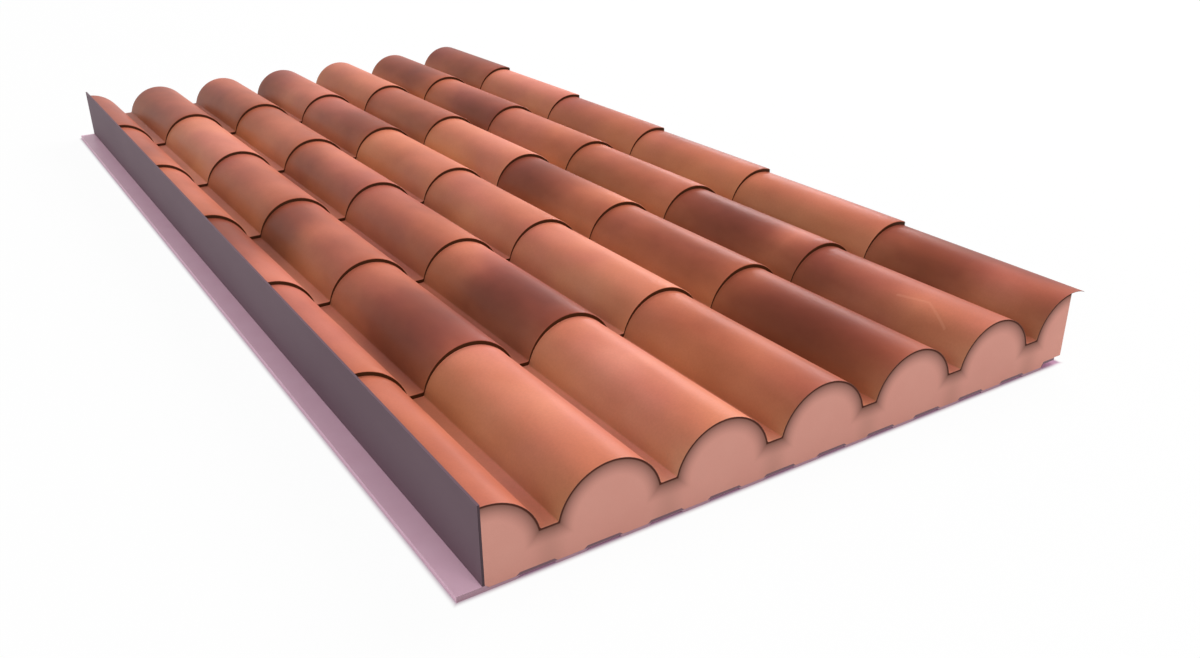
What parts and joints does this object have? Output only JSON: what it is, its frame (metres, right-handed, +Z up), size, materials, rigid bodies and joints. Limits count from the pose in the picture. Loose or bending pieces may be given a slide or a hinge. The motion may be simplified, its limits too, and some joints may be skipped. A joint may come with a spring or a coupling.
{
  "type": "insulated roof panel",
  "caption": "Insulated roof panel: rigid foam between a tile-effect steel outer sheet and a ribbed liner, with a lap lip on one side and a flange on the other.",
  "frame": {"origin": "centre of the whole panel seen from above, on the surface that the liner lies on", "axes": "+X across the panel from the flange side to the lap side, +Y along the ridges from the eaves end to the far end, +Z up out of the tile-effect face"},
  "size_m": [1.169, 2.4, 0.1288],
  "materials": {
    "tile_paint": "satin",
    "foam": "matt",
    "liner": "satin",
    "strip": "matt"
  },
  "bodies": {
    "root": {"outer_sheet": "tile_paint", "insulation_core": "foam", "inner_sheet": "liner", "side_strip": "strip"}
  },
  "joints": []
}
